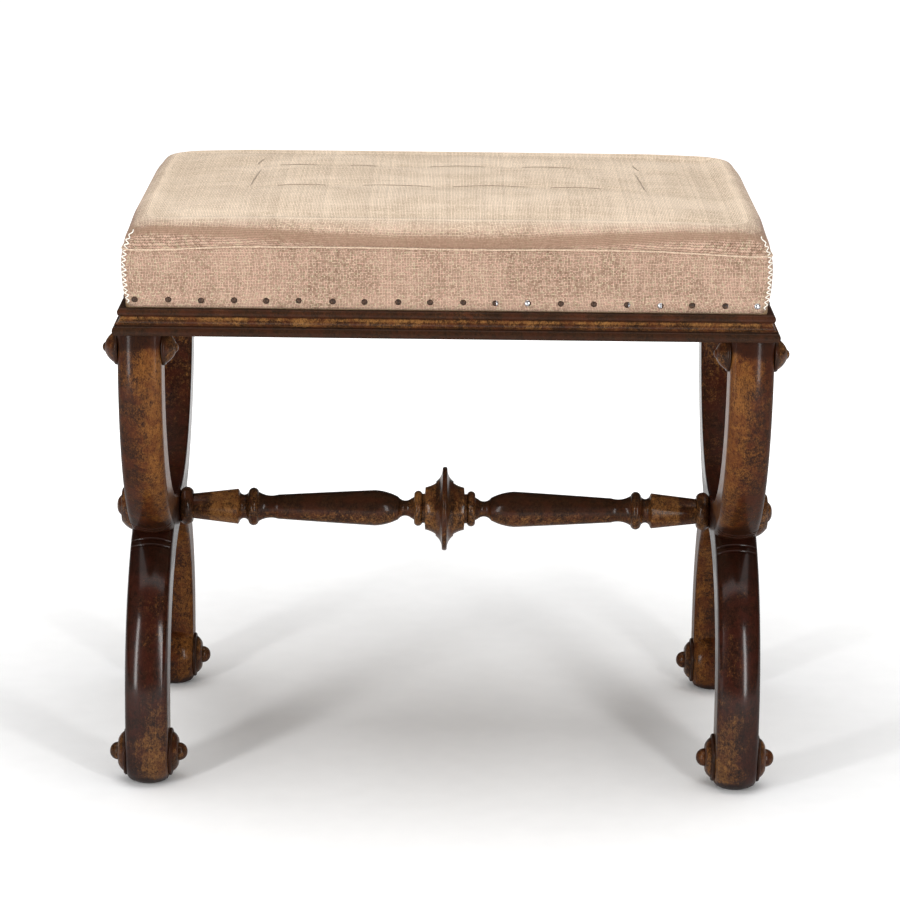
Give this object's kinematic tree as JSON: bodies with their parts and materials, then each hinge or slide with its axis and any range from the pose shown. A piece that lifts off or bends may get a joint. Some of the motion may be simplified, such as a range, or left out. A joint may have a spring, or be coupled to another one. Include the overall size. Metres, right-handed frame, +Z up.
{
  "type": "x frame stool",
  "caption": "Low stool on crossed, bent wooden legs joined by a turned stretcher, with a moulded frame and a boxed, hand stitched hessian seat.",
  "frame": {"origin": "on the floor under the middle of the seat", "axes": "+X along the stretcher to the right end, -Y towards the front, +Z up"},
  "size_m": [0.574, 0.386, 0.4995],
  "materials": {
    "gilt_lacquer_wood": "dark brown lacquer over worn gilding, glossy",
    "bare_wood": "planed beech, unfinished",
    "seat_hessian": "plain woven hessian, matt",
    "base_hessian": "coarse hessian, matt",
    "webbing": "twilled jute webbing, matt",
    "stuffing": "curled hair",
    "linen_thread": "waxed linen thread",
    "iron_tack": "blued iron, some heads worn bright",
    "screw_steel": "dull steel"
  },
  "bodies": {
    "root": {"base_hessian": "base_hessian", "corner_block_left_back": "bare_wood", "corner_block_left_front": "bare_wood", "corner_block_right_back": "bare_wood", "corner_block_right_front": "bare_wood", "corner_screws": "screw_steel", "corner_stitches": "linen_thread", "cover_band_back": "seat_hessian", "cover_band_front": "seat_hessian", "cover_band_left": "seat_hessian", "cover_band_right": "seat_hessian", "cover_tacks": "iron_tack", "cover_top_panel": "seat_hessian", "left_crossing_boss": "gilt_lacquer_wood", "left_foot_boss_back_inner": "gilt_lacquer_wood", "left_foot_boss_back_outer": "gilt_lacquer_wood", "left_foot_boss_front_inner": "gilt_lacquer_wood", "left_foot_boss_front_outer": "gilt_lacquer_wood", "left_leg_inner": "gilt_lacquer_wood", "left_leg_outer": "gilt_lacquer_wood", "left_top_boss_back_inner": "gilt_lacquer_wood", "left_top_boss_back_outer": "gilt_lacquer_wood", "left_top_boss_front_inner": "gilt_lacquer_wood", "left_top_boss_front_outer": "gilt_lacquer_wood", "leg_dowels": "bare_wood", "moulding_back": "gilt_lacquer_wood", "moulding_front": "gilt_lacquer_wood", "moulding_left": "gilt_lacquer_wood", "moulding_right": "gilt_lacquer_wood", "rail_back": "bare_wood", "rail_front": "bare_wood", "rail_left": "bare_wood", "rail_right": "bare_wood", "right_crossing_boss": "gilt_lacquer_wood", "right_foot_boss_back_inner": "gilt_lacquer_wood", "right_foot_boss_back_outer": "gilt_lacquer_wood", "right_foot_boss_front_inner": "gilt_lacquer_wood", "right_foot_boss_front_outer": "gilt_lacquer_wood", "right_leg_inner": "gilt_lacquer_wood", "right_leg_outer": "gilt_lacquer_wood", "right_top_boss_back_inner": "gilt_lacquer_wood", "right_top_boss_back_outer": "gilt_lacquer_wood", "right_top_boss_front_inner": "gilt_lacquer_wood", "right_top_boss_front_outer": "gilt_lacquer_wood", "seam_thread": "linen_thread", "stretcher_arm_left": "gilt_lacquer_wood", "stretcher_arm_right": "gilt_lacquer_wood", "stretcher_knop": "gilt_lacquer_wood", "stuffing_pad": "stuffing", "tie_stitches": "linen_thread", "webbing_cross": "webbing", "webbing_long": "webbing", "webbing_tacks": "iron_tack"}
  },
  "joints": []
}
